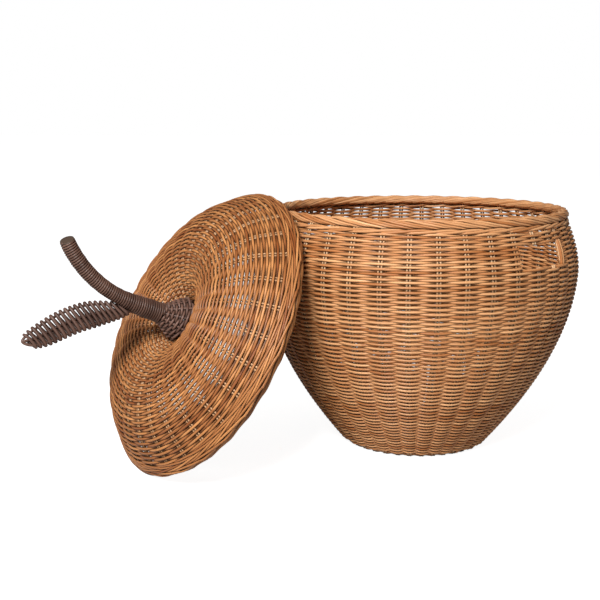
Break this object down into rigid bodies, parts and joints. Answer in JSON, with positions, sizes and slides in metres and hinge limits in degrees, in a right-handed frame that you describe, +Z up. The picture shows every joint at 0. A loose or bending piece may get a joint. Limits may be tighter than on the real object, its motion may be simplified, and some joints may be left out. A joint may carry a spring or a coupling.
{
  "type": "storage basket",
  "caption": "Round woven storage basket shaped like an apple, with hand holes and a loose domed lid that leans on it and carries a bound stem and a leaf.",
  "frame": {"origin": "centre, on the floor, of the outline of the basket with its lid leaning on it as pictured", "axes": "+Z up; +X along the longest extent, from the lid and its leaf towards the basket; -Y towards the viewer"},
  "size_m": [0.816, 0.5592, 0.3956],
  "materials": {
    "woven_cane": "satin varnished rattan",
    "border_cane": "satin varnished rattan",
    "dark_cane": "satin dark-stained rattan",
    "stem_end": "cut rattan"
  },
  "bodies": {
    "basket": {"foot_ring": "border_cane", "base_sticks": "woven_cane", "base_weave": "woven_cane", "upsett_wale": "border_cane", "wall_weave_lower": "woven_cane", "wall_weave_middle": "woven_cane", "wall_weave_upper": "woven_cane", "right_handle_post_front": "border_cane", "right_handle_post_back": "border_cane", "left_handle_post_front": "border_cane", "left_handle_post_back": "border_cane", "mouth_wale": "border_cane", "mouth_hoop": "woven_cane", "mouth_border": "border_cane"},
    "lid": {"lid_hoop": "woven_cane", "lid_border": "border_cane", "lid_wale": "border_cane", "lid_weave_side": "woven_cane", "lid_weave_crown": "woven_cane", "lid_dimple_weave": "woven_cane", "lid_hub": "woven_cane", "stem_socket": "dark_cane", "stem_rod": "dark_cane", "stem_end_plug": "stem_end", "stem_binding": "dark_cane", "leaf_edge_rod": "dark_cane", "leaf_midrib": "dark_cane", "leaf_winding": "dark_cane", "leaf_stalk": "dark_cane"}
  },
  "joints": [
    {"name": "lid_lift", "type": "slide", "parent": "basket", "child": "lid", "axis": [0, 0, 1], "range_m": [0, 0.3]}
  ]
}
